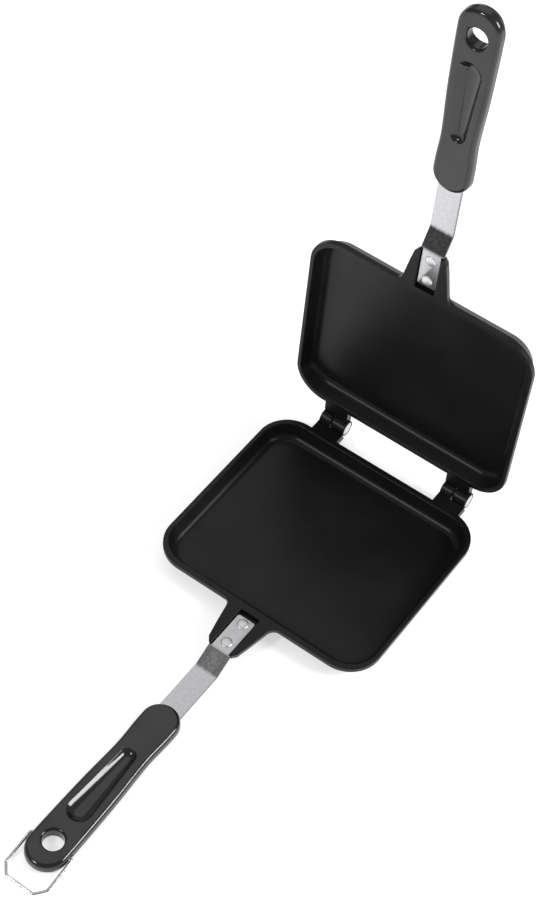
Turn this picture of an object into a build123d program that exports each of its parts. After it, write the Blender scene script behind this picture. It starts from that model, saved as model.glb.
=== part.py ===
# Hinged double pan for omelettes: two equal shallow rectangular pans that fold
# together face to face, each with a strap, a moulded handle and half of both
# hinges. A wire loop on the lower handle swings over the upper one.
#
# One half is drawn lying down: its parting plane is z = 0, the metal is below,
# the hinge axis is the Y axis and the handle points along +X. The upper half is
# the same casting turned half a turn about X and then opened about the hinge.

from build123d import *
import os
from math import asin, atan2, cos, degrees, pi, radians, sin, sqrt, tan

os.makedirs("parts", exist_ok=True)

# Placing of the two halves in the frame of the object
PAN_CENTRE_X = 78.6
BASE_DEPTH = 13.0
OPEN_ANGLE = 90.6

# Pan
RIM_REAR_X = 12.4
RIM_FRONT_X = 144.8
RIM_HALF_Y = 74.0
CORNER_R = 21.0
RIM_FACE = 0.04
RIM_SIDE_W = 2.6
RIM_END_W = 3.7
LIP_H = 3.7
DRAFT = 20.0
WALL_INSET = 1.4
WALL_DRAFT = 30.0
CAVITY_DEPTH = 9.7
FLOOR_R = 5.0
BASE_R = 8.0
MOUTH_R = 0.6
RIM_EDGE_R = 0.5

# Fork that carries the strap
FORK_ROOT_X = 142.0
FORK_TIP_X = 175.0
FORK_DEPTH = 5.8
FORK_DRAFT = 8.0
FORK_ROOT_R = 5.2
FORK_HALF_BACK = 15.6
FORK_HALF_MID = 12.2
FORK_HALF_TIP = 10.4
SLOT_HALF = 6.5
SLOT_END_X = 145.6
WEB_END_X = 172.5

# Strap
STRAP_T = 1.8
TONGUE_TOP = 1.35
TONGUE_HALF = 5.85
TONGUE_END_X = 148.9
STRAP_HALF = 7.3
SHOULDER_X = 175.05
CRANK_START_X = 175.2
CRANK_END_X = 186.8
STRAP_TOP = 7.6
TANG_END_X = 256.0
TANG_HALF = 6.0

# Rivets
RIVET_X = (153.1, 168.5)
RIVET_R = 2.0
RIVET_HEAD_R = 3.4
RIVET_HEAD_H = 1.25
RIVET_FLAT_R = 1.7

# Handle
HANDLE_TOP = 4.5
HANDLE_BOTTOM = 12.8
HANDLE_NEAR_X = 218.2
HANDLE_TIP_X = 338.2
HANDLE_TIP_R = 12.75
HANDLE_NEAR_R = 11.6
HANDLE_WIDEST = 9.4
SIDE_DRAFT = 5.0
BELLY_DRAFT = 18.0
HANDLE_SIDE = (
    (238.0, 11.5),
    (250.0, 10.9),
    (264.0, 11.2),
    (280.0, 12.0),
    (300.0, 12.5),
)
TOP_EDGE_R = 2.6
BELLY_EDGE_R = 2.6
BELLY_CROWN_R = 26.0
HANG_X = 321.1
HANG_R = 6.0
HANG_MOUTH_EDGE_R = 1.6
HANG_BACK_EDGE_R = 1.0
SCOOP_NEAR_X = 253.4
SCOOP_FAR_X = 306.3
SCOOP_NEAR_HALF = 4.7
SCOOP_FAR_HALF = 7.4
SCOOP_NEAR_DEPTH = 2.7
SCOOP_FAR_DEPTH = 2.8
SCOOP_EDGE_R = 0.6

# Hinges
HINGE_Y = (-42.4, 45.6)
LUG_HALF = 8.2
LUG_FLANK = 2.0
LUG_SPLIT = 0.4
LUG_DEPTH = 4.9
BARREL_R = 5.25
RELIEF_R = 5.85
PIN_R = 2.5
PIN_CLEAR = 0.05
PIN_HEAD_R = 4.25
PIN_HEAD_H = 1.4
PIN_HEAD_GAP = 0.08
PIN_HEAD_CLEAR = 0.1
STOP_GAP = 0.03
HEEL_TOP = 7.2
HEEL_T = 1.9

# Latch wire
WIRE_R = 0.9
LATCH_X = 322.0
LATCH_DEPTH = 8.5
LATCH_LENGTH = 27.0
LATCH_DROP = 7.5
LEG_Y = 13.9
BAR_HALF = 9.0
CHAMFER_LEN = 5.6
WIRE_PIN_Y = 9.2
WIRE_BORE_R = 0.95
WIRE_MOUTH_R = 1.8
WIRE_MOUTH_Y = 11.3
WIRE_BEND_R = 1.9


def rounded_slab(inset_x, inset_y, top, height, taper=0.0):
    """Rounded rectangle of the pan outline, drawn in and pulled down."""
    length = RIM_FRONT_X - RIM_REAR_X - 2 * inset_x
    width = 2 * (RIM_HALF_Y - inset_y)
    middle = (RIM_FRONT_X + RIM_REAR_X) / 2
    with BuildPart() as slab:
        with BuildSketch(Plane.XY.offset(top)):
            with Locations((middle, 0)):
                RectangleRounded(length, width, CORNER_R - inset_y)
        extrude(amount=-height, taper=taper)
    return slab.part


def pan_shell():
    """Outer body of the pan: an upright lip over a wall that leans in."""
    lip = rounded_slab(0.0, 0.0, -RIM_FACE, LIP_H - RIM_FACE)
    wall_h = BASE_DEPTH - LIP_H
    wall = rounded_slab(WALL_INSET, WALL_INSET, -LIP_H, wall_h, WALL_DRAFT)
    wall = fillet(wall.edges().group_by(Axis.Z)[0], BASE_R)
    lip = fillet(lip.edges().group_by(Axis.Z)[0], 0.8)
    lip = fillet(lip.edges().group_by(Axis.Z)[-1], RIM_EDGE_R)
    return lip + wall


def pan_cavity():
    """Space inside the pan, with a rounded floor edge."""
    depth = CAVITY_DEPTH - RIM_FACE
    cut = rounded_slab(RIM_END_W, RIM_SIDE_W, -RIM_FACE, depth, DRAFT)
    return fillet(cut.edges().group_by(Axis.Z)[0], FLOOR_R)


def on_cavity_mouth(edge):
    """True for the edges where the cavity meets the rim face."""
    middle = (RIM_FRONT_X + RIM_REAR_X) / 2
    half_x = (RIM_FRONT_X - RIM_REAR_X) / 2 - RIM_END_W
    half_y = RIM_HALF_Y - RIM_SIDE_W
    if abs(edge.center().Z + RIM_FACE) > 0.01:
        return False
    point = edge.position_at(0.5)
    return abs(point.X - middle) < half_x + 0.1 and abs(point.Y) < half_y + 0.1


def on_fork_top(edge):
    """True for the upper edges of the fork that stay in sight."""
    point = edge.position_at(0.5)
    return abs(point.Z + RIM_FACE) < 0.01 and point.X > FORK_ROOT_X + 0.5 and abs(point.Y) < 23.9


def fork_prism(inset, rear_x, rim_x, top, height, draft):
    """Slice of the fork body, drawn in by an inset and leaning by its draft."""
    right = (
        (rear_x, 24.0),
        (rim_x, 24.0),
        (rim_x, FORK_HALF_BACK - inset),
        (163.0, FORK_HALF_MID - inset),
        (171.4, FORK_HALF_TIP - inset),
        (FORK_TIP_X - inset, FORK_HALF_TIP - 2.6 - inset),
    )
    left = tuple((x, -y) for x, y in reversed(right))
    with BuildPart() as solid:
        with BuildSketch(Plane.XY.offset(top)) as plan:
            with BuildLine():
                Polyline(*right, *left, close=True)
            make_face()
            corners = plan.sketch_local.vertices()
            root = [v for v in corners if abs(abs(v.Y) - FORK_HALF_BACK + inset) < 0.1]
            fillet(root, FORK_ROOT_R)
            corners = plan.sketch_local.vertices()
            tips = [v for v in corners if v.X > 170.5]
            fillet(tips, 1.9)
        extrude(amount=-height, taper=draft)
    return solid.part


def fork():
    """Fork with the channel that takes the tongue of the strap."""
    lean = (LIP_H - RIM_FACE) * tan(radians(FORK_DRAFT))
    rim_x = RIM_FRONT_X - 0.05
    body = fork_prism(0.0, FORK_ROOT_X, rim_x, -RIM_FACE, LIP_H - RIM_FACE, FORK_DRAFT)
    keel_h = FORK_DEPTH - LIP_H
    wall_x = rim_x - WALL_INSET
    body = body + fork_prism(lean, FORK_ROOT_X - 2.0, wall_x, -LIP_H, keel_h, WALL_DRAFT)
    slot_len = FORK_TIP_X + 5.0 - SLOT_END_X
    slot_h = TONGUE_TOP + STRAP_T
    slot = Pos(SLOT_END_X + slot_len / 2, 0, -slot_h / 2) * Box(slot_len, 2 * SLOT_HALF, slot_h)
    slot = fillet(slot.edges().filter_by(Axis.Z).group_by(Axis.X)[0], 1.6)
    gap = Pos((WEB_END_X + FORK_TIP_X + 5) / 2, 0, -FORK_DEPTH)
    gap = gap * Box(FORK_TIP_X + 5 - WEB_END_X, 2 * SLOT_HALF, 2 * FORK_DEPTH)
    body = body - slot - gap
    return fillet([e for e in body.edges() if on_fork_top(e)], RIM_EDGE_R)


def lug_base(y, flank):
    """Block behind the rim that spans both knuckles of one hinge."""
    front = RIM_REAR_X + 3.4
    block = Pos((front + 4.2) / 2, y + flank / 2, -LUG_DEPTH / 2)
    block = block * Box(front - 4.2, 2 * LUG_HALF + flank, LUG_DEPTH)
    block = block - Pos(0, y, 0) * Rot(90, 0, 0) * Cylinder(RELIEF_R, 4 * LUG_HALF)
    return block - Pos(0, y, RIM_FACE) * Box(60, 4 * LUG_HALF, 4 * RIM_FACE)


def heel(y_mid, width):
    """Nose behind the barrel that stops the other half when it stands open."""
    face = -(LUG_DEPTH + STOP_GAP)
    back = face - HEEL_T
    outline = (
        (face, 1.2),
        (face, HEEL_TOP),
        (back + 0.7, HEEL_TOP),
        (back, HEEL_TOP - 0.9),
        (back, 4.0),
        (-BARREL_R, -0.4),
        (-3.0, -0.4),
    )
    with BuildPart() as nose:
        with BuildSketch(Plane.XZ):
            with BuildLine():
                Polyline(*outline, close=True)
            make_face()
        extrude(amount=width / 2, both=True)
    lean = Rot(0, -(OPEN_ANGLE - 90.0), 0)
    return Pos(0, y_mid, 0) * lean * nose.part


def knuckle(y, collar):
    """Barrel and arm of one hinge, on the -Y side of the hinge centre."""
    width = LUG_HALF - LUG_SPLIT
    y_mid = y - LUG_SPLIT - width / 2
    barrel = Pos(0, y_mid - collar / 2, 0) * Rot(90, 0, 0) * Cylinder(BARREL_R, width + collar)
    barrel = chamfer(barrel.edges().filter_by(GeomType.CIRCLE), 0.45)
    reach = RIM_REAR_X + 1.0
    arm = Pos(reach / 2, y_mid, -RIM_FACE - (LUG_DEPTH - RIM_FACE) / 2)
    arm = arm * Box(reach, width, LUG_DEPTH - RIM_FACE)
    return barrel + arm + heel(y_mid, width - 1.0)


def casting(bore_r, hinges, flank, collar):
    """One pan with its rim, fork, knuckles and holes; a collar sinks the pins' heads."""
    body = pan_shell() - pan_cavity()
    mouth = [e for e in body.edges() if on_cavity_mouth(e)]
    body = fillet(mouth, MOUTH_R) + fork()
    for y in hinges:
        body = body + lug_base(y, flank)
    for y in hinges:
        body = body + knuckle(y, collar)
    for y in hinges:
        body = body - Pos(0, y, 0) * Rot(90, 0, 0) * Cylinder(bore_r, 4 * LUG_HALF)
        sink = Pos(0, y - LUG_HALF - collar, 0) * Rot(90, 0, 0)
        body = body - sink * Cylinder(PIN_HEAD_R + PIN_HEAD_CLEAR, 2 * collar) if collar else body
    for x in RIVET_X:
        body = body - Pos(x, 0, 0) * Cylinder(RIVET_R, 40)
    return body


def strap_path(offset):
    """Side line of the strap at a given distance under its upper face."""
    return (
        (TONGUE_END_X, -TONGUE_TOP - offset),
        (CRANK_START_X, -TONGUE_TOP - offset),
        (CRANK_END_X, -STRAP_TOP - offset),
        (TANG_END_X, -STRAP_TOP - offset),
    )


def strap_slab():
    """Cranked flat bar, wider than the strap, before its plan is cut."""
    lean = radians(30.0)
    shift = STRAP_T * tan(lean / 2)
    top = strap_path(0.0)
    low = [list(p) for p in strap_path(STRAP_T)]
    low[1][0] -= shift
    low[2][0] -= shift
    outline = list(top) + [tuple(p) for p in reversed(low)]
    with BuildPart() as slab:
        with BuildSketch(Plane.XZ):
            with BuildLine():
                Polyline(*outline, close=True)
            make_face()
        extrude(amount=20.0, both=True)
    bends = [e for e in slab.part.edges().filter_by(Axis.Y) if 170.0 < e.center().X < 190.0]
    inner = [e for e in bends if e.center().X < 180.0]
    outer = [e for e in bends if e.center().X > 180.0]
    upper = sorted(inner, key=lambda e: e.center().Z)
    lower = sorted(outer, key=lambda e: e.center().Z)
    part = fillet([upper[0], lower[1]], 2.2)
    bends = [e for e in part.edges().filter_by(Axis.Y) if 170.0 < e.center().X < 190.0]
    sharp = [e for e in bends if abs(e.center().X - CRANK_START_X) < 0.3 and e.center().Z > -1.0]
    sharp += [e for e in bends if abs(e.center().X - CRANK_END_X + shift) < 0.3 and e.center().Z < -9.0]
    return fillet(sharp, 4.0)


def strap():
    """Steel strap from the fork to the inside of the handle."""
    with BuildPart() as plan:
        with BuildSketch():
            with BuildLine():
                Polyline(
                    (TONGUE_END_X, TONGUE_HALF),
                    (SHOULDER_X, TONGUE_HALF),
                    (SHOULDER_X, STRAP_HALF),
                    (HANDLE_NEAR_X + 11.0, STRAP_HALF),
                    (HANDLE_NEAR_X + 11.0, TANG_HALF),
                    (TANG_END_X, TANG_HALF),
                    (TANG_END_X, -TANG_HALF),
                    (HANDLE_NEAR_X + 11.0, -TANG_HALF),
                    (HANDLE_NEAR_X + 11.0, -STRAP_HALF),
                    (SHOULDER_X, -STRAP_HALF),
                    (SHOULDER_X, -TONGUE_HALF),
                    (TONGUE_END_X, -TONGUE_HALF),
                    close=True,
                )
            make_face()
        extrude(amount=15.0, both=True)
    plan_solid = plan.part
    upright = plan_solid.edges().filter_by(Axis.Z)
    near = [e for e in upright if abs(e.center().X - TONGUE_END_X) < 0.1]
    plan_solid = fillet(near, 1.4)
    upright = plan_solid.edges().filter_by(Axis.Z)
    corner = [e for e in upright if abs(e.center().X - SHOULDER_X) < 0.1 and abs(e.center().Y) > 7.0]
    plan_solid = fillet(corner, 0.9)
    bar = strap_slab() & plan_solid
    for x in RIVET_X:
        bar = bar - Pos(x, 0, 0) * Cylinder(RIVET_R, 40)
    return bar


def rivet(x):
    """Rivet with a raised head on the strap and a flatter one underneath."""
    top = -TONGUE_TOP
    low = -FORK_DEPTH
    with BuildPart() as solid:
        with BuildSketch(Plane.XZ):
            with BuildLine():
                Polyline((0, low - 1.1), (2.6, low - 1.1), (3.3, low), (RIVET_R, low), (RIVET_R, top))
                Polyline((RIVET_R, top), (RIVET_HEAD_R, top), (RIVET_HEAD_R, top + 0.3))
                ThreePointArc(
                    (RIVET_HEAD_R, top + 0.3),
                    (RIVET_HEAD_R - 0.6, top + 1.1),
                    (RIVET_FLAT_R, top + RIVET_HEAD_H),
                )
                Polyline((RIVET_FLAT_R, top + RIVET_HEAD_H), (0, top + RIVET_HEAD_H), (0, low - 1.1))
            make_face()
        revolve(axis=Axis.Z)
    return Pos(x, 0, 0) * solid.part


def handle_plan(inset):
    """Closed outline of the handle seen from above, drawn in by an inset."""
    near_x = HANDLE_NEAR_X + HANDLE_NEAR_R
    near_r = HANDLE_NEAR_R - inset
    tip_x = HANDLE_TIP_X - HANDLE_TIP_R
    tip_r = HANDLE_TIP_R - inset
    with BuildSketch() as plan:
        with BuildLine():
            side = Spline(
                (near_x, near_r),
                *((x, y - inset) for x, y in HANDLE_SIDE),
                (tip_x, tip_r),
                tangents=((1, 0), (1, 0)),
            )
            mirror(side)
            ThreePointArc((near_x, near_r), (near_x - near_r, 0), (near_x, -near_r))
            ThreePointArc((tip_x, tip_r), (tip_x + tip_r, 0), (tip_x, -tip_r))
        make_face()
    return plan.sketch


def flat(point):
    """X and Z of a point, for a sketch drawn from the side."""
    return (point.X, point.Z)


def scoop():
    """Smooth hollow in the inner face, steep towards the pan and wide at the far end."""
    near_r = (SCOOP_NEAR_HALF**2 + SCOOP_NEAR_DEPTH**2) / (2 * SCOOP_NEAR_DEPTH)
    far_r = (SCOOP_FAR_HALF**2 + SCOOP_FAR_DEPTH**2) / (2 * SCOOP_FAR_DEPTH)
    near = Vector(SCOOP_NEAR_X + SCOOP_NEAR_HALF, 0, near_r - SCOOP_NEAR_DEPTH)
    far = Vector(SCOOP_FAR_X - SCOOP_FAR_HALF, 0, far_r - SCOOP_FAR_DEPTH)
    span = far - near
    along = span.normalized()
    swell = (far_r - near_r) / span.length
    across = Vector(-along.Z, 0, along.X)
    tilt = across * sqrt(1 - swell**2) - along * swell
    near_ways = (-along, (tilt - along).normalized(), tilt)
    far_ways = (tilt, (tilt + along).normalized(), along)
    with BuildPart() as cut:
        with BuildSketch(Plane.XZ):
            with BuildLine():
                ThreePointArc(*(flat(near + way * near_r) for way in near_ways))
                Line(flat(near + tilt * near_r), flat(far + tilt * far_r))
                ThreePointArc(*(flat(far + way * far_r) for way in far_ways))
                Line(flat(far + along * far_r), flat(near - along * near_r))
            make_face()
        revolve(axis=Axis(near, along))
    return Pos(0, 0, -HANDLE_TOP) * cut.part


def on_scoop_mouth(edge):
    """True for the edges where the hollow meets the inner face."""
    point = edge.position_at(0.5)
    if abs(point.Z + HANDLE_TOP) > 0.01 or abs(point.Y) > SCOOP_FAR_HALF + 0.3:
        return False
    return SCOOP_NEAR_X - 0.3 < point.X < SCOOP_FAR_X + 0.3


def on_hole(edge):
    """True for the round edges of the hanging hole."""
    point = edge.position_at(0.3)
    reach = sqrt((point.X - HANG_X) ** 2 + point.Y**2)
    upright = abs(edge.position_at(0).Z - edge.position_at(0.5).Z) > 2.0
    return abs(reach - HANG_R) < 0.05 and edge.length > 1.0 and not upright


def handle(with_latch):
    """Moulded handle with its hollow, hanging hole and pocket for the strap."""
    rise = (HANDLE_WIDEST - HANDLE_TOP) * tan(radians(SIDE_DRAFT))
    sink = (HANDLE_BOTTOM - HANDLE_WIDEST) * tan(radians(BELLY_DRAFT))
    middle = Pos(0, 0, -HANDLE_WIDEST) * handle_plan(0.0)
    body = loft([middle, Pos(0, 0, -HANDLE_TOP) * handle_plan(rise)], ruled=True)
    body = body + loft([Pos(0, 0, -HANDLE_BOTTOM) * handle_plan(sink), middle], ruled=True)
    body = fillet(body.edges().group_by(Axis.Z)[0], BELLY_EDGE_R)
    body = fillet(body.edges().group_by(Axis.Z)[-1], TOP_EDGE_R)
    middle = (HANDLE_NEAR_X + HANDLE_TIP_X) / 2
    crown = Pos(middle, 0, BELLY_CROWN_R - HANDLE_BOTTOM) * Rot(0, 90, 0)
    body = body & (crown * Cylinder(BELLY_CROWN_R, 200))
    body = body - scoop()
    body = body - Pos(HANG_X, 0, 0) * Cylinder(HANG_R, 60)
    body = fillet([e for e in body.edges() if on_scoop_mouth(e)], SCOOP_EDGE_R)
    front = [e for e in body.edges() if on_hole(e) and e.center().Z > -HANDLE_TOP - 1.0]
    body = fillet(front, HANG_MOUTH_EDGE_R)
    back = [e for e in body.edges() if on_hole(e) and e.center().Z < -HANDLE_BOTTOM + 2.5]
    body = fillet(back, HANG_BACK_EDGE_R)
    body = body - strap()
    if with_latch:
        for side in (-1, 1):
            bore = Pos(LATCH_X, side * (WIRE_PIN_Y - 0.2 + 5.0), -LATCH_DEPTH)
            body = body - bore * Rot(90, 0, 0) * Cylinder(WIRE_BORE_R, 10.0)
            mouth = Pos(LATCH_X, side * (WIRE_MOUTH_Y + 2.0), -LATCH_DEPTH)
            body = body - mouth * Rot(90, 0, 0) * Cylinder(WIRE_MOUTH_R, 4.0)
    return body


def hinge_pin(y):
    """Hinge pin with a flat head sunk in the +Y side, flush on the other side."""
    shank_len = 2 * LUG_HALF + PIN_HEAD_GAP
    shank = Pos(0, y + PIN_HEAD_GAP / 2, 0) * Rot(90, 0, 0) * Cylinder(PIN_R, shank_len)
    head_y = y + LUG_HALF + PIN_HEAD_GAP + PIN_HEAD_H / 2
    head = Pos(0, head_y, 0) * Rot(90, 0, 0) * Cylinder(PIN_HEAD_R, PIN_HEAD_H)
    outer = head.edges().filter_by(GeomType.CIRCLE).group_by(Axis.Y)[-1]
    return shank + fillet(outer, 0.3)


def latch_wire():
    """Round wire loop, pivoted in the sides of the lower handle."""
    straight = LATCH_LENGTH - CHAMFER_LEN
    drop = radians(LATCH_DROP)

    def along(distance, y):
        x = LATCH_X + distance * cos(drop)
        return Vector(x, y, -LATCH_DEPTH - distance * sin(drop))

    points = (
        along(0, WIRE_PIN_Y),
        along(0, LEG_Y),
        along(straight, LEG_Y),
        along(LATCH_LENGTH, BAR_HALF),
        along(LATCH_LENGTH, -BAR_HALF),
        along(straight, -LEG_Y),
        along(0, -LEG_Y),
        along(0, -WIRE_PIN_Y),
    )
    with BuildPart() as wire:
        with BuildLine():
            FilletPolyline(*points, radius=WIRE_BEND_R)
        start = Plane(origin=points[0], z_dir=(0, 1, 0))
        with BuildSketch(start):
            Circle(WIRE_R)
        sweep()
    return wire.part


def lower(shape):
    """Place a lower half shape in the frame of the object."""
    return Pos(-PAN_CENTRE_X, 0, BASE_DEPTH) * shape


def upper(shape):
    """Turn a half over, open it about the hinge and place it."""
    return lower(Rot(0, -OPEN_ANGLE, 0) * Rot(180, 0, 0) * shape)


def check(name, shape):
    """Stop on a shape that isn't one sound solid."""
    solids = shape.solids()
    if len(solids) != 1 or not solids[0].is_valid or solids[0].volume <= 0:
        raise ValueError(f"{name}: {len(solids)} solids")
    return solids[0]


def main():
    collar = PIN_HEAD_GAP + PIN_HEAD_H
    casting_fixed = casting(PIN_R, HINGE_Y, LUG_FLANK, 0.0)
    casting_turning = casting(PIN_R + PIN_CLEAR, [-y for y in HINGE_Y], 0.0, collar)
    bar = strap()
    shapes = {
        "lower_pan": lower(casting_fixed),
        "lower_strap": lower(bar),
        "lower_handle": lower(handle(True)),
        "upper_pan": upper(casting_turning),
        "upper_strap": upper(bar),
        "upper_handle": upper(handle(False)),
        "hinge_pin_left": lower(hinge_pin(HINGE_Y[0])),
        "hinge_pin_right": lower(hinge_pin(HINGE_Y[1])),
        "latch_wire": lower(latch_wire()),
    }
    for label, x in zip(("inner", "outer"), RIVET_X):
        shapes[f"lower_rivet_{label}"] = lower(rivet(x))
        shapes[f"upper_rivet_{label}"] = upper(rivet(x))
    for name, shape in shapes.items():
        solid = check(name, shape)
        export_step(solid, f"parts/{name}.step")
        box = solid.bounding_box()
        print(name, round(solid.volume, 1), box.min, box.max)


if __name__ == "__main__":
    main()
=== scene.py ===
"""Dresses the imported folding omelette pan: steel parts, finishes, light, floor and camera."""

import logging
from dataclasses import dataclass
from enum import Enum
from math import atan2, cos, degrees, pi, radians, sin, tan
from typing import Callable

import bpy
from mathutils import Matrix, Quaternion, Vector


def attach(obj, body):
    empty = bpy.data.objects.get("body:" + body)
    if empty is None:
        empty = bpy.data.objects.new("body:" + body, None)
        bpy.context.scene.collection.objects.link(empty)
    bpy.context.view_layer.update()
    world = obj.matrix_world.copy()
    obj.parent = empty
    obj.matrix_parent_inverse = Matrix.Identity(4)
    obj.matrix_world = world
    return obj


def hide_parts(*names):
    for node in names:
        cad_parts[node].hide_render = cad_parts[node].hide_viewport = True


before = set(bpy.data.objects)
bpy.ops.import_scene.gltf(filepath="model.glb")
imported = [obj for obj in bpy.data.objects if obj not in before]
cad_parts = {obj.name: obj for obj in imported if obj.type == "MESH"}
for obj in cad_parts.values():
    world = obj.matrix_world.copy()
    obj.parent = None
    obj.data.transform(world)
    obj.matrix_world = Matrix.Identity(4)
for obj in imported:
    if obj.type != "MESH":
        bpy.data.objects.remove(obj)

LOG = logging.getLogger("omelette_pan")

Colour = tuple[float, float, float]
Point = tuple[float, float, float]
Span = tuple[float, float]
Rings = tuple[tuple[float, float], ...]

METRES_PER_MILLIMETRE = 0.001


class Half(Enum):
    """The two halves of the pan, named after their bodies."""

    LOWER = "lower_half"
    UPPER = "upper_half"

    @property
    def side(self) -> str:
        """First word of the names of this half's nodes."""
        return self.value.split("_")[0]


@dataclass(frozen=True)
class HalfFrame:
    """Where a half lies, in millimetres: X out along its handle, Y along the hinge, Z up.

    The origin is on the hinge axis, in the plane where the two rims meet, and Z points
    out of the pan's inner face.
    """

    hinge: Point = (-78.6, 0.0, 13.0)
    open_angle: float = 90.6

    def matrix(self, half: Half) -> Matrix:
        """Place of a half in the frame of the object.

        Args:
            half: the half to place.

        Returns:
            The matrix from millimetres of the half to metres of that frame.
        """
        place = Matrix.Scale(METRES_PER_MILLIMETRE, 4) @ Matrix.Translation(self.hinge)
        if half is Half.LOWER:
            return place
        opened = Matrix.Rotation(radians(-self.open_angle), 4, "Y")
        turned = Matrix.Rotation(radians(180.0), 4, "X")
        return place @ opened @ turned


HALF_FRAME = HalfFrame()


# Materials


@dataclass(frozen=True)
class Grain:
    """Make-up of a noise: features per millimetre, octaves and weight of the finer octaves."""

    scale: float
    detail: float = 3.0
    rough: float = 0.5


@dataclass(frozen=True)
class Relief:
    """How much of a height shows, and the metres from height 0 to height 1."""

    strength: float
    distance: float


class Signal:
    """A node socket that builds Math nodes when it is used in an expression."""

    def __init__(self, desk: "NodeDesk", socket: bpy.types.NodeSocket) -> None:
        """Keep the socket and the desk that makes its nodes."""
        self.desk = desk
        self.socket = socket

    def _join(self, operation: str, first: "Signal | float", second: "Signal | float") -> "Signal":
        """Add one Math node.

        Args:
            operation: the Math node's operation.
            first: first operand.
            second: second operand.

        Returns:
            The node's value.
        """
        return self.desk.node("ShaderNodeMath", {"operation": operation}, {0: first, 1: second})

    def __add__(self, other: "Signal | float") -> "Signal":
        """Sum."""
        return self._join("ADD", self, other)

    __radd__ = __add__

    def __mul__(self, other: "Signal | float") -> "Signal":
        """Product."""
        return self._join("MULTIPLY", self, other)

    __rmul__ = __mul__

    def __sub__(self, other: "Signal | float") -> "Signal":
        """Difference."""
        return self._join("SUBTRACT", self, other)

    def __rsub__(self, other: "Signal | float") -> "Signal":
        """Difference from a number."""
        return self._join("SUBTRACT", other, self)

    def ramp(self, low: float, high: float) -> "Signal":
        """Stretch the span from low to high onto 0 to 1, smoothly and clamped.

        Args:
            low: value that becomes 0.
            high: value that becomes 1.

        Returns:
            The stretched value.
        """
        settings = {"interpolation_type": "SMOOTHSTEP"}
        return self.desk.node("ShaderNodeMapRange", settings, {"Value": self, 1: low, 2: high})

    def band(self, low: float, high: float, soft: float) -> "Signal":
        """Mask that is 1 between two values and fades over a soft margin.

        Args:
            low: lower end.
            high: upper end.
            soft: width of each fade.

        Returns:
            The mask.
        """
        return self.ramp(low - soft, low + soft) * (1.0 - self.ramp(high - soft, high + soft))


class NodeDesk:
    """Builds the nodes of one material."""

    def __init__(self, name: str) -> None:
        """Start a material with only a shader and its output."""
        self.material = bpy.data.materials.new(name)
        self.material.use_nodes = True
        self.tree = self.material.node_tree
        self.tree.nodes.clear()
        self.shader = self.tree.nodes.new("ShaderNodeBsdfPrincipled")
        output = self.tree.nodes.new("ShaderNodeOutputMaterial")
        self.tree.links.new(self.shader.outputs["BSDF"], output.inputs["Surface"])

    def node(self, kind: str, settings: dict, inputs: dict, output: int | str = 0) -> Signal:
        """Add a node, set it up and connect it.

        Args:
            kind: the node's type.
            settings: properties set first.
            inputs: values or signals for its sockets, by index or name.
            output: the socket to hand back.

        Returns:
            The chosen output.
        """
        made = self.tree.nodes.new(kind)
        for key, value in settings.items():
            setattr(made, key, value)
        for key, value in inputs.items():
            self.feed(made.inputs[key], value)
        return Signal(self, made.outputs[output])

    def feed(self, socket: bpy.types.NodeSocket, value: "Signal | float | Colour") -> None:
        """Set a socket to a value or link a signal to it.

        Args:
            socket: the socket to fill.
            value: a signal, a number, a vector or a colour.
        """
        if isinstance(value, Signal):
            self.tree.links.new(value.socket, socket)
        elif isinstance(value, tuple) and len(socket.default_value) == 4:
            socket.default_value = (*value, 1.0)
        else:
            socket.default_value = value

    def place(self, half: Half) -> Signal:
        """Object coordinates turned into millimetres of a half.

        Args:
            half: the half whose coordinates are wanted.

        Returns:
            The position.
        """
        where, turn, size = HALF_FRAME.matrix(half).inverted().decompose()
        raw = self.node("ShaderNodeTexCoord", {}, {}, "Object")
        inputs = {
            "Vector": raw,
            "Location": tuple(where),
            "Rotation": tuple(turn.to_euler("XYZ")),
            "Scale": tuple(size),
        }
        return self.node("ShaderNodeMapping", {"vector_type": "POINT"}, inputs)

    def stretched(self, position: Signal, scale: Point) -> Signal:
        """Position scaled along each axis, to draw a texture out along one of them."""
        inputs = {"Vector": position, "Scale": scale}
        return self.node("ShaderNodeMapping", {"vector_type": "POINT"}, inputs)

    def noise(self, position: Signal, grain: Grain) -> Signal:
        """Soft noise from 0 to 1.

        Args:
            position: where to read it.
            grain: its make-up.

        Returns:
            The noise value.
        """
        inputs = {
            "Vector": position,
            "Scale": grain.scale,
            "Detail": grain.detail,
            "Roughness": grain.rough,
        }
        return self.node("ShaderNodeTexNoise", {}, inputs, "Fac")

    def blend(self, mask: Signal, first: "Signal | Colour", second: "Signal | Colour") -> Signal:
        """Mix two colours by a mask.

        Args:
            mask: 0 for the first colour, 1 for the second.
            first: colour at 0.
            second: colour at 1.

        Returns:
            The mixed colour.
        """
        inputs = {"Factor": mask, 6: first, 7: second}
        return self.node("ShaderNodeMix", {"data_type": "RGBA"}, inputs, 2)

    def part(self, position: Signal, axis: int) -> Signal:
        """One coordinate of a position, 0 for X to 2 for Z."""
        return self.node("ShaderNodeSeparateXYZ", {}, {"Vector": position}, axis)

    def bump(self, height: Signal, relief: Relief) -> None:
        """Raise the surface by a height signal.

        Args:
            height: the height, about 0 to 1.
            relief: how much of it shows.
        """
        inputs = {"Height": height, "Strength": relief.strength, "Distance": relief.distance}
        normal = self.node("ShaderNodeBump", {}, inputs)
        self.feed(self.shader.inputs["Normal"], normal)

    def dress(self, **sockets: "Signal | float | Colour") -> bpy.types.Material:
        """Feed the shader's sockets, named with underscores for spaces.

        Args:
            **sockets: values or signals.

        Returns:
            The finished material.
        """
        for key, value in sockets.items():
            self.feed(self.shader.inputs[key.replace("_", " ")], value)
        return self.material


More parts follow.
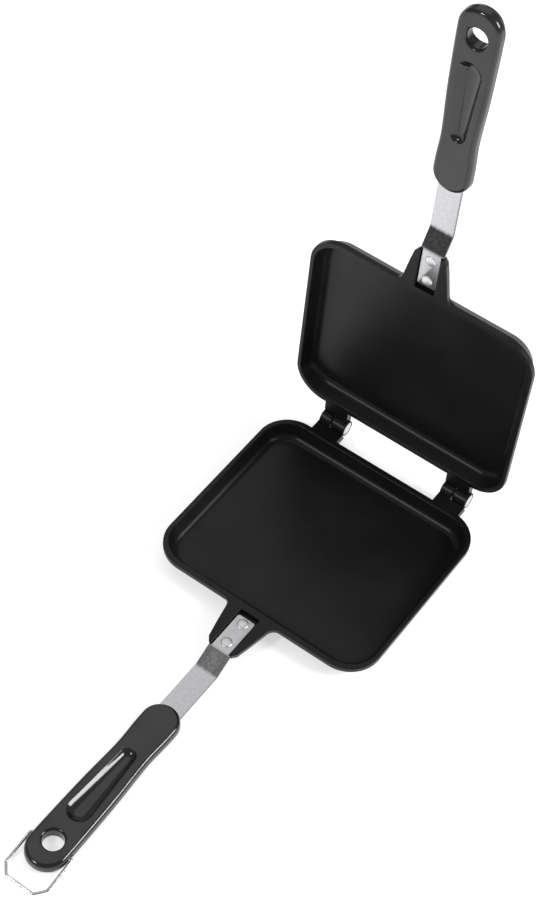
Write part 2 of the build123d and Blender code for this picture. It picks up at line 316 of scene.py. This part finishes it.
@dataclass(frozen=True)
class NonStickCoat:
    """Satin black coating, sprayed over the cast pans."""

    name: str = "non_stick_coat"
    deep: Colour = (0.0068, 0.0068, 0.0069)
    pale: Colour = (0.0105, 0.0105, 0.0107)
    fleck: Colour = (0.030, 0.030, 0.031)
    cloud: Grain = Grain(0.028, 2.0)
    cloud_span: Span = (0.35, 0.7)
    spray: Grain = Grain(1.6, 2.0, 0.6)
    flecks: Grain = Grain(2.6, 1.0)
    fleck_span: Span = (0.66, 0.76)
    fleck_cover: float = 0.4
    rough: float = 0.27
    rough_cloud: float = 0.05
    rough_spray: float = 0.07
    relief: Relief = Relief(0.38, 0.00004)
    specular: float = 0.23

    def make(self, half: Half) -> bpy.types.Material:
        """Material for one half.

        Args:
            half: the half that wears it.

        Returns:
            The material.
        """
        desk = NodeDesk(f"{self.name}_{half.side}")
        where = desk.place(half)
        cloud = desk.noise(where, self.cloud)
        spray = desk.noise(where, self.spray)
        flecks = desk.noise(where, self.flecks).ramp(*self.fleck_span)
        tone = desk.blend(cloud.ramp(*self.cloud_span), self.deep, self.pale)
        colour = desk.blend(flecks * self.fleck_cover, tone, self.fleck)
        rough = self.rough + cloud * self.rough_cloud + spray * self.rough_spray
        desk.bump(spray, self.relief)
        return desk.dress(Base_Color=colour, Roughness=rough, Specular_IOR_Level=self.specular)


@dataclass(frozen=True)
class StrapSteel:
    """Stainless strip: bright flats, and a press-marked crank whose darker colour is partly dulled
    steel and partly painted shade, with the upper half's crank painted darker than the lower's.
    """

    name: str = "strap_steel"
    bright: Colour = (0.60, 0.595, 0.615)
    grey: Colour = (0.52, 0.515, 0.535)
    # Crank colours for each half: dulled steel plus painted shade; the upper one is a shaded copy,
    # painted darker.
    lower_crank_with_painted_shade: tuple[Colour, Colour] = ((0.19, 0.19, 0.193), (0.34, 0.34, 0.345))
    upper_crank_with_painted_shade: tuple[Colour, Colour] = ((0.05, 0.05, 0.052), (0.11, 0.11, 0.113))
    # Darker colour along the strip's side edges.
    side_edge_dark: Colour = (0.12, 0.12, 0.122)
    crank: Span = (175.0, 187.5)
    crank_fade: float = 1.6
    crank_wander: float = 1.5
    crank_cover: float = 0.96
    tongue_fade: float = 2.5
    half_width: float = 7.3
    edge_depths: Span = (0.16, 0.05)
    edge_cover: float = 0.9
    grain: Grain = Grain(1.0, 3.0, 0.6)
    grain_stretch: Point = (0.05, 1.8, 1.8)
    tumble: Grain = Grain(0.55, 3.0, 0.6)
    pits: Grain = Grain(1.4, 2.0)
    pit_span: Span = (0.62, 0.72)
    flat_shares: Span = (0.3, 0.7)
    flat_span: Span = (0.3, 0.7)
    worked_span: Span = (0.3, 0.8)
    mark_share: float = 0.5
    rough: float = 0.20
    rough_grain: float = 0.04
    rough_marks: float = 0.08
    rough_pits: float = 0.12
    raised_grain: float = 0.12
    raised_tumble: float = 1.2
    raised_pits: float = 0.25
    relief: Relief = Relief(0.5, 0.00007)

    def make(self, half: Half) -> bpy.types.Material:
        """Material for one half.

        Args:
            half: the half that wears it.

        Returns:
            The material.
        """
        desk = NodeDesk(f"{self.name}_{half.side}")
        where = desk.place(half)
        along = desk.part(where, 0)
        across = desk.node("ShaderNodeMath", {"operation": "ABSOLUTE"}, {0: desk.part(where, 1)})
        grain = desk.noise(desk.stretched(where, self.grain_stretch), self.grain)
        tumble = desk.noise(where, self.tumble)
        pits = desk.noise(where, self.pits).ramp(*self.pit_span)
        start, end = self.crank
        wander = (tumble - 0.5) * self.crank_wander
        crank_zone = (along + wander).band(start, end, self.crank_fade)
        tongue = 1.0 - along.ramp(start - self.tongue_fade, start)
        inner, outer = (self.half_width - depth for depth in self.edge_depths)
        edge = across.ramp(inner, outer)
        grain_share, tumble_share = self.flat_shares
        shade = (grain * grain_share + tumble * tumble_share).ramp(*self.flat_span)
        flat = desk.blend(shade, self.grey, self.bright)
        # The crank's colour is partly press-dulled steel and partly painted shade, darker on the
        # upper half.
        dark, light = self.lower_crank_with_painted_shade if half is Half.LOWER else self.upper_crank_with_painted_shade
        crank_worked_and_shaded = desk.blend(tumble.ramp(*self.worked_span), dark, light)
        shown = desk.blend(crank_zone * self.crank_cover, flat, crank_worked_and_shaded)
        # Darker along the side edges.
        colour = desk.blend(edge * self.edge_cover, shown, self.side_edge_dark)
        marks = crank_zone + tongue * self.mark_share + edge * self.mark_share
        spoiled = marks * (self.rough_marks + pits * self.rough_pits)
        rough = self.rough + grain * self.rough_grain + spoiled
        dents = marks * tumble * self.raised_tumble
        desk.bump(grain * self.raised_grain + dents + marks * pits * self.raised_pits, self.relief)
        return desk.dress(Base_Color=colour, Metallic=1.0, Roughness=rough)


@dataclass(frozen=True)
class PolishedSteel:
    """Bright steel of rivets, pins and wire, with fine turning or drawing marks."""

    name: str
    bright: Colour = (0.82, 0.82, 0.82)
    grey: Colour = (0.55, 0.55, 0.56)
    rough: float = 0.14
    scale: float = 0.7
    finer: float = 4.0
    cloud_span: Span = (0.35, 0.65)
    rough_cloud: float = 0.10
    rough_fine: float = 0.06
    raised_cloud: float = 0.7
    raised_fine: float = 0.3
    relief: Relief = Relief(0.35, 0.00005)

    def make(self, half: Half) -> bpy.types.Material:
        """Material for one half.

        Args:
            half: the half that wears it.

        Returns:
            The material.
        """
        desk = NodeDesk(f"{self.name}_{half.side}")
        where = desk.place(half)
        cloud = desk.noise(where, Grain(self.scale, 3.0, 0.6))
        fine = desk.noise(where, Grain(self.scale * self.finer, 2.0))
        colour = desk.blend(cloud.ramp(*self.cloud_span), self.grey, self.bright)
        rough = self.rough + cloud * self.rough_cloud + fine * self.rough_fine
        desk.bump(cloud * self.raised_cloud + fine * self.raised_fine, self.relief)
        return desk.dress(Base_Color=colour, Metallic=1.0, Roughness=rough)


@dataclass(frozen=True)
class PhenolicResin:
    """Glossy black moulded resin of the handles, with the mould's parting line."""

    name: str = "phenolic_resin"
    deep: Colour = (0.008, 0.008, 0.0085)
    pale: Colour = (0.016, 0.016, 0.0165)
    cloud: Grain = Grain(0.06, 3.0)
    cloud_span: Span = (0.35, 0.7)
    peel: Grain = Grain(0.45, 2.0)
    fine: Grain = Grain(2.2, 2.0)
    parting_depth: float = 9.4
    seam_half: float = 0.12
    seam_fade: float = 0.08
    rough: float = 0.09
    rough_cloud: float = 0.05
    rough_fine: float = 0.04
    rough_seam: float = 0.1
    raised_peel: float = 0.15
    raised_fine: float = 0.04
    raised_seam: float = 0.9
    relief: Relief = Relief(0.11, 0.00008)
    specular: float = 0.62

    def make(self, half: Half) -> bpy.types.Material:
        """Material for one half.

        Args:
            half: the half that wears it.

        Returns:
            The material.
        """
        desk = NodeDesk(f"{self.name}_{half.side}")
        where = desk.place(half)
        cloud = desk.noise(where, self.cloud)
        peel = desk.noise(where, self.peel)
        fine = desk.noise(where, self.fine)
        depth = desk.part(where, 2)
        level = -self.parting_depth
        seam = depth.band(level - self.seam_half, level + self.seam_half, self.seam_fade)
        colour = desk.blend(cloud.ramp(*self.cloud_span), self.deep, self.pale)
        duller = self.rough + cloud * self.rough_cloud + fine * self.rough_fine
        rough = duller + seam * self.rough_seam
        skin = peel * self.raised_peel + fine * self.raised_fine
        desk.bump(skin + seam * self.raised_seam, self.relief)
        return desk.dress(Base_Color=colour, Roughness=rough, Specular_IOR_Level=self.specular)


# Modelling


class Bench:
    """Models one piece in millimetres with edit-mode operators."""

    merge_within: float = 0.001
    smooth_below: float = 35.0

    def __init__(self, name: str) -> None:
        """Start with nothing selected."""
        bpy.ops.object.select_all(action="DESELECT")
        self.name = name
        self.piece: bpy.types.Object | None = None

    def block(self, low: Point, high: Point) -> None:
        """Add a block and stay in edit mode with nothing selected.

        Args:
            low: lowest corner.
            high: highest corner.
        """
        middle = (Vector(low) + Vector(high)) / 2
        bpy.ops.mesh.primitive_cube_add(size=1.0, location=middle, scale=Vector(high) - Vector(low))
        self._open()

    def disc(self, radius: float, centre: Point, sides: int, turn: Point = (0.0, 0.0, 0.0)) -> None:
        """Add a filled round face and keep it selected.

        Args:
            radius: its radius.
            centre: its middle.
            sides: points round it.
            turn: rotation in degrees.
        """
        bpy.ops.mesh.primitive_circle_add(
            vertices=sides, radius=radius, fill_type="NGON", location=centre,
            rotation=tuple(radians(angle) for angle in turn),
        )
        self._open()
        bpy.ops.mesh.select_all(action="SELECT")

    def _open(self) -> None:
        """Take the new object into edit mode with its place in its mesh."""
        self.piece = bpy.context.object
        self.piece.name = self.name
        bpy.ops.object.transform_apply(location=True, rotation=True, scale=True)
        bpy.ops.object.mode_set(mode="EDIT")
        bpy.ops.mesh.select_all(action="DESELECT")

    def pick(self, kind: str, test: Callable[[Vector, Vector], bool]) -> None:
        """Select the vertices, edges or faces whose middle passes a test.

        Args:
            kind: VERT, EDGE or FACE.
            test: takes the middle, and for a face also its normal.
        """
        bpy.ops.mesh.select_mode(type=kind)
        bpy.ops.mesh.select_all(action="DESELECT")
        bpy.ops.object.mode_set(mode="OBJECT")
        mesh = self.piece.data
        points = [vertex.co for vertex in mesh.vertices]
        if kind == "FACE":
            for face in mesh.polygons:
                face.select = test(face.center, face.normal)
        elif kind == "EDGE":
            for edge in mesh.edges:
                first, second = (points[index] for index in edge.vertices)
                edge.select = test((first + second) / 2, second - first)
        else:
            for vertex in mesh.vertices:
                vertex.select = test(vertex.co, vertex.normal)
        bpy.ops.object.mode_set(mode="EDIT")

    def pull(self, x: float = 0.0, y: float = 0.0, z: float = 0.0) -> None:
        """Extrude the selected face and move it."""
        bpy.ops.mesh.extrude_region_move(TRANSFORM_OT_translate={"value": (x, y, z)})

    def swell(self, centre: Point, x: float = 1.0, y: float = 1.0, z: float = 1.0) -> None:
        """Scale what is selected about a point."""
        bpy.ops.transform.resize(value=(x, y, z), center_override=centre)

    def bend(self, centre: Point, axis: Point, angle: float, steps: int) -> None:
        """Sweep the selected face round a centre.

        Args:
            centre: middle of the bend.
            axis: direction of the bend's axis.
            angle: degrees, counted as the right hand turns, which the operator counts backwards.
            steps: number of new slices.
        """
        bpy.ops.mesh.spin(steps=steps, angle=-radians(angle), center=centre, axis=axis)

    def turn(
        self, rings: list[tuple[float, float]], along: int, foot: Point = (0.0, 0.0, 0.0)
    ) -> None:
        """Draw the selected disc on through rings, as on a lathe.

        Args:
            rings: radius and level of each ring, the disc's own first.
            along: axis of the piece, 1 for Y or 2 for Z.
            foot: a point on that axis.
        """
        for (radius, level), (wider, further) in zip(rings, rings[1:]):
            shift, centre, grow = [0.0] * 3, list(foot), [wider / radius] * 3
            shift[along], centre[along], grow[along] = further - level, further, 1.0
            self.pull(*shift)
            self.swell(tuple(centre), *grow)

    def ease(self, width: float, segments: int) -> None:
        """Bevel the selected edges in edit mode."""
        bpy.ops.mesh.bevel(offset=width, offset_type="OFFSET", segments=segments, profile=0.5)

    def close(self, edge: float = 0.0, steps: int = 3, above: float = 40.0) -> bpy.types.Object:
        """Leave edit mode, round the sharp edges and smooth the shading.

        Args:
            edge: width of the rounding, 0 for none.
            steps: segments of the rounding.
            above: only edges sharper than this many degrees are rounded.

        Returns:
            The piece, still in millimetres of its half.
        """
        bpy.ops.mesh.select_all(action="SELECT")
        bpy.ops.mesh.remove_doubles(threshold=self.merge_within)
        bpy.ops.mesh.normals_make_consistent(inside=False)
        bpy.ops.object.mode_set(mode="OBJECT")
        bpy.ops.object.select_all(action="DESELECT")
        self.piece.select_set(True)
        bpy.context.view_layer.objects.active = self.piece
        if edge:
            round_over = self.piece.modifiers.new("edge", "BEVEL")
            round_over.width = edge
            round_over.segments = steps
            round_over.limit_method = "ANGLE"
            round_over.angle_limit = radians(above)
            round_over.use_clamp_overlap = True
            bpy.ops.object.modifier_apply(modifier="edge")
        bpy.ops.object.shade_smooth_by_angle(angle=radians(self.smooth_below))
        return self.piece


def settle(piece: bpy.types.Object, name: str, half: Half, body: str, node: str,
           material: bpy.types.Material) -> bpy.types.Object:
    """Copy a modelled piece to its place in one half and hand it to the frame.

    Args:
        piece: the piece in millimetres of a half.
        name: name of the copy.
        half: the half that it belongs to.
        body: the body that carries it.
        node: the CAD node that it stands for.
        material: its finish.

    Returns:
        The copy.
    """
    placed = bpy.data.objects.new(name, piece.data.copy())
    placed.data.name = name
    placed.data.transform(HALF_FRAME.matrix(half))
    placed.data.materials.clear()
    placed.data.materials.append(material)
    bpy.context.scene.collection.objects.link(placed)
    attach(placed, body)
    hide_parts(node)
    LOG.info("%s: %d faces, in place of %s", name, len(placed.data.polygons), node)
    return placed


def scrap(piece: bpy.types.Object) -> None:
    """Remove a pattern piece after its copies are placed."""
    mesh = piece.data
    bpy.data.objects.remove(piece)
    bpy.data.meshes.remove(mesh)


def dress_node(name: str, material: bpy.types.Material) -> None:
    """Give a CAD node one material."""
    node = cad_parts[name]
    node.data.materials.clear()
    node.data.materials.append(material)
    LOG.info("%s: CAD solid, %s", name, material.name)


@dataclass
class CastPans:
    """The two coated pans, as cast in the CAD."""

    coat: NonStickCoat = NonStickCoat()

    def dress(self) -> None:
        """Coat both pans."""
        for half in Half:
            dress_node(f"{half.side}_pan", self.coat.make(half))


@dataclass
class ResinHandles:
    """The two moulded handles, as moulded in the CAD."""

    resin: PhenolicResin = PhenolicResin()

    def dress(self) -> None:
        """Give both handles their resin."""
        for half in Half:
            dress_node(f"{half.side}_handle", self.resin.make(half))


@dataclass
class Straps:
    """Cranked steel straps between the pans and the handles."""

    tongue_end: float = 148.9
    tongue_half: float = 5.85
    strap_half: float = 7.3
    top: float = -1.35
    flat_top: float = -7.6
    thick: float = 1.8
    bend_start: float = 174.3
    shoulder: float = 175.07
    shoulder_step: float = 0.015
    tongue_corner: float = 1.4
    corner_steps: int = 6
    outer_bend: float = 4.0
    inner_bend: float = 2.2
    lean: float = 28.3
    shoulder_slices: int = 3
    outer_slices: int = 4
    inner_slices: int = 6
    hidden_end: float = 240.0
    edge: float = 0.22
    edge_steps: int = 3
    edge_above: float = 50.0
    near: float = 0.1
    steel: StrapSteel = StrapSteel()

    def build(self) -> None:
        """Model the strap once and place it in both halves."""
        pattern = self._model()
        for half in Half:
            name = f"{half.side}_strap_cranked"
            settle(pattern, name, half, half.value, f"{half.side}_strap",
                   self.steel.make(half))
        scrap(pattern)

    def _model(self) -> bpy.types.Object:
        """Pull the strap out of a block: tongue, shoulders, two bends and the flat.

        Returns:
            The strap in millimetres of a half.
        """
        bench = Bench("strap_pattern")
        low = self.top - self.thick
        far_corner = (self.bend_start, self.tongue_half, self.top)
        bench.block((self.tongue_end, -self.tongue_half, low), far_corner)
        end = self.tongue_end + self.near
        upright = self.thick / 2
        bench.pick("EDGE", lambda middle, way: middle.x < end and abs(way.z) > upright)
        bench.ease(self.tongue_corner, self.corner_steps)
        start = self.bend_start - self.near
        bench.pick("FACE", lambda middle, normal: normal.x > 0.9 and middle.x > start)
        centre = (self.bend_start, 0.0, self.top - self.outer_bend)
        first = degrees(atan2(self.shoulder - self.bend_start, self.outer_bend))
        bench.bend(centre, (0, 1, 0), first, self.shoulder_slices)
        wider = self.strap_half / self.tongue_half
        step, tilt = self.shoulder_step, radians(first)
        bench.pull(step * cos(tilt), 0.0, -step * sin(tilt))
        bench.swell((0, 0, 0), y=wider)
        bench.bend(centre, (0, 1, 0), self.lean - first, self.outer_slices)
        slope = radians(self.lean)
        drop = (self.top - self.flat_top) - (self.outer_bend + self.inner_bend) * (1 - cos(slope))
        run = drop / sin(slope)
        bench.pull(run * cos(slope), 0.0, -run * sin(slope))
        turn_x = self.bend_start + self.outer_bend * sin(slope) + run * cos(slope)
        centre = (turn_x + self.inner_bend * sin(slope), 0.0, self.flat_top + self.inner_bend)
        bench.bend(centre, (0, 1, 0), -self.lean, self.inner_slices)
        bench.pull(self.hidden_end - centre[0])
        return bench.close(self.edge, self.edge_steps, self.edge_above)


@dataclass
class Rivets:
    """Rivets that hold each strap in its fork."""

    stations: tuple[float, float] = (153.1, 168.5)
    names: tuple[str, str] = ("rivet_inner", "rivet_outer")
    seat: float = -1.35
    underside: float = -5.8
    shank: float = 2.0
    sides: int = 48
    tail: Rings = ((2.2, -1.1), (2.7, -1.02), (3.1, -0.75), (3.3, -0.4), (3.3, 0.0))
    crown: Rings = (
        (3.4, 0.0), (3.36, 0.12), (3.15, 0.3), (2.75, 0.47), (2.2, 0.61), (1.5, 0.71), (0.8, 0.76),
        (0.3, 0.77),
    )
    steel: PolishedSteel = PolishedSteel(
        "rivet_metal", bright=(0.84, 0.84, 0.84), grey=(0.68, 0.68, 0.69), rough=0.32, scale=0.5
    )

    def build(self) -> None:
        """Model the rivet once and place the four copies."""
        for station, name in zip(self.stations, self.names):
            pattern = self._model(station)
            for half in Half:
                node = f"{half.side}_{name}"
                settle(pattern, f"{node}_domed", half, half.value, node,
                       self.steel.make(half))
            scrap(pattern)

    def _model(self, station: float) -> bpy.types.Object:
        """Turn the rivet from the tail up to its domed head.

        Args:
            station: distance from the hinge.

        Returns:
            The rivet in millimetres of a half.
        """
        bench = Bench("rivet_pattern")
        rings = [(radius, self.underside + height) for radius, height in self.tail]
        rings += [(self.shank, self.underside), (self.shank, self.seat)]
        rings += [(radius, self.seat + height) for radius, height in self.crown]
        radius, level = rings[0]
        bench.disc(radius, (station, 0.0, level), self.sides)
        bench.turn(rings, 2, (station, 0.0, 0.0))
        return bench.close()


@dataclass
class HingePins:
    """Headed pins of the two hinges."""

    centres: tuple[float, float] = (-42.4, 45.6)
    names: tuple[str, str] = ("hinge_pin_left", "hinge_pin_right")
    radius: float = 2.5
    lug_half: float = 8.2
    head_gap: float = 0.08
    sides: int = 56
    plain_end: Rings = ((-0.45, 0.0), (-0.15, 0.1), (0.0, 0.4))
    head: Rings = (
        (4.25, 0.0), (4.25, 1.05), (4.2, 1.16), (4.1, 1.24), (3.7, 1.31), (3.0, 1.36), (2.0, 1.39),
        (0.6, 1.4),
    )
    steel: PolishedSteel = PolishedSteel(
        "pin_steel", bright=(0.76, 0.76, 0.76), grey=(0.60, 0.60, 0.60), rough=0.30, scale=0.4
    )

    def build(self) -> None:
        """Turn both pins along the hinge axis."""
        for centre, name in zip(self.centres, self.names):
            pattern = self._model(centre)
            settle(pattern, f"{name}_turned", Half.LOWER, Half.LOWER.value, name,
                   self.steel.make(Half.LOWER))
            scrap(pattern)

    def _model(self, centre: float) -> bpy.types.Object:
        """Turn one pin from its plain end to its head.

        Args:
            centre: place of the hinge's middle along the axis.

        Returns:
            The pin in millimetres of a half.
        """
        bench = Bench("pin_pattern")
        start = centre - self.lug_half
        seat = centre + self.lug_half + self.head_gap
        rings = [(self.radius + wider, start + inward) for wider, inward in self.plain_end]
        rings += [(self.radius, seat)]
        rings += [(radius, seat + height) for radius, height in self.head]
        radius, level = rings[0]
        bench.disc(radius, (0.0, level, 0.0), self.sides, (90.0, 0.0, 0.0))
        bench.turn(rings, 1)
        return bench.close()


@dataclass
class LatchWire:
    """Wire loop that swings over the other handle and holds the pan shut."""

    wire: float = 0.9
    pivot: Point = (322.0, 0.0, -8.5)
    pin_y: float = 9.2
    leg_y: float = 13.9
    length: float = 27.0
    bar_half: float = 9.0
    chamfer: float = 5.6
    bend: float = 1.9
    bend_slices: int = 6
    tip: float = 0.2
    drop: float = 7.5
    sides: int = 24
    steel: PolishedSteel = PolishedSteel("wire_steel", rough=0.1)

    def build(self) -> None:
        """Bend the wire and hang it in the lower handle."""
        pattern = self._model()
        lowered = Matrix.Rotation(radians(self.drop), 4, "Y")
        pattern.data.transform(Matrix.Translation(self.pivot) @ lowered)
        settle(pattern, "latch_wire_bent", Half.LOWER, "latch", "latch_wire",
               self.steel.make(Half.LOWER))
        scrap(pattern)

    def _model(self) -> bpy.types.Object:
        """Draw the wire along its corners, flat, from one pivot end to the other.

        Returns:
            The wire in millimetres, with its pivot at the origin.
        """
        straight = self.length - self.chamfer
        corners = [
            Vector((0.0, self.pin_y)), Vector((0.0, self.leg_y)), Vector((straight, self.leg_y)),
            Vector((self.length, self.bar_half)), Vector((self.length, -self.bar_half)),
            Vector((straight, -self.leg_y)), Vector((0.0, -self.leg_y)), Vector((0.0, -self.pin_y)),
        ]
        bench = Bench("wire_pattern")
        tip = self.tip
        bench.disc(self.wire - tip, (0.0, self.pin_y, 0.0), self.sides, (90.0, 0.0, 0.0))
        bench.pull(y=tip)
        grow = self.wire / (self.wire - tip)
        bench.swell((0.0, self.pin_y + tip, 0.0), grow, 1.0, grow)
        at = Vector((0.0, self.pin_y + tip))
        for before, corner, after in zip(corners, corners[1:], corners[2:]):
            come = (corner - before).normalized()
            leave = (after - corner).normalized()
            angle = atan2(come.x * leave.y - come.y * leave.x, come.dot(leave))
            reach = self.bend * tan(abs(angle) / 2)
            step = corner - come * reach - at
            bench.pull(step.x, step.y)
            side = 1.0 if angle > 0 else -1.0
            centre = corner - come * reach + Vector((-come.y, come.x)) * self.bend * side
            bench.bend((centre.x, centre.y, 0.0), (0, 0, 1), degrees(angle), self.bend_slices)
            at = corner + leave * reach
        step = corners[-1] - at
        bench.pull(step.x, step.y + tip)
        bench.pull(y=tip)
        bench.swell((0.0, -self.pin_y, 0.0), 1 / grow, 1.0, 1 / grow)
        return bench.close()


# Studio


@dataclass(frozen=True)
class SoftPanel:
    """Round soft light that looks at the middle of the pan, in metres and degrees."""

    name: str
    bearing: float
    height: float
    distance: float
    size: float
    glow: float

    def hang(self) -> None:
        """Put the panel at its bearing and height angle, in degrees."""
        data = bpy.data.lights.new(self.name, "AREA")
        data.shape = "DISK"
        data.size = self.size
        area = pi * self.size**2 / 4
        data.energy = self.glow * pi * area
        lamp = bpy.data.objects.new(self.name, data)
        turn, rise = radians(self.bearing), radians(self.height)
        way = Vector((cos(turn) * cos(rise), sin(turn) * cos(rise), sin(rise)))
        lamp.location = way * self.distance
        lamp.rotation_euler = way.to_track_quat("Z", "Y").to_euler()
        bpy.context.scene.collection.objects.link(lamp)
        LOG.info("%s hung", self.name)


@dataclass(frozen=True)
class Studio:
    """Floor, light and camera, in metres and degrees; the lens is in millimetres."""

    floor_half: float = 24.0
    floor_white: Colour = (0.9, 0.9, 0.9)
    floor_rough: float = 0.9
    floor_glow: float = 0.6
    camera_place: Point = (0.62005, 0.33128, 0.98742)
    camera_target: Point = (-0.04406, -0.066, 0.0)
    camera_roll: float = 6.15
    lens: float = 82.138
    clip: Span = (0.01, 50.0)
    room: float = 0.30
    panels: tuple[SoftPanel, ...] = (
        SoftPanel("front_panel", -20.0, 40.0, 2.2, 0.36, 30.0),
        SoftPanel("side_panel", 110.0, 35.0, 2.2, 0.9, 14.0),
        SoftPanel("back_panel", -136.0, 62.0, 2.0, 2.2, 0.6),
    )

    def build(self) -> None:
        """Make the whole setting."""
        self.lay_floor()
        self.light()
        self.aim_camera()

    def lay_floor(self) -> None:
        """Plain white floor that glows a little, as a lit table does."""
        bpy.ops.object.select_all(action="DESELECT")
        bpy.ops.mesh.primitive_plane_add(size=2 * self.floor_half, location=(0, 0, 0))
        floor = bpy.context.object
        floor.name = "studio_floor"
        desk = NodeDesk("studio_floor_paint")
        white = self.floor_white
        paint = desk.dress(
            Base_Color=white,
            Roughness=self.floor_rough,
            Emission_Color=white,
            Emission_Strength=self.floor_glow,
        )
        floor.data.materials.append(paint)

    def light(self) -> None:
        """Dim room and soft panels, seen without a film curve."""
        world = bpy.data.worlds.new("studio_room")
        world.use_nodes = True
        back = world.node_tree.nodes["Background"]
        back.inputs["Color"].default_value = (1.0, 1.0, 1.0, 1.0)
        back.inputs["Strength"].default_value = self.room
        bpy.context.scene.world = world
        bpy.context.scene.view_settings.view_transform = "Standard"
        for panel in self.panels:
            panel.hang()

    def aim_camera(self) -> None:
        """Camera at the angle of the photograph."""
        data = bpy.data.cameras.new("photo_camera")
        data.lens = self.lens
        data.clip_start, data.clip_end = self.clip
        camera = bpy.data.objects.new("photo_camera", data)
        way = Vector(self.camera_target) - Vector(self.camera_place)
        look = way.to_track_quat("-Z", "Y")
        roll = Quaternion((0.0, 0.0, 1.0), radians(self.camera_roll))
        camera.rotation_mode = "QUATERNION"
        camera.rotation_quaternion = look @ roll
        camera.location = self.camera_place
        bpy.context.scene.collection.objects.link(camera)
        bpy.context.scene.camera = camera


def main() -> None:
    """Dress the pan and set up the studio."""
    logging.basicConfig(level=logging.INFO)
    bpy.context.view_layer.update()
    CastPans().dress()
    ResinHandles().dress()
    Straps().build()
    Rivets().build()
    HingePins().build()
    LatchWire().build()
    Studio().build()


if __name__ == "__main__":
    main()
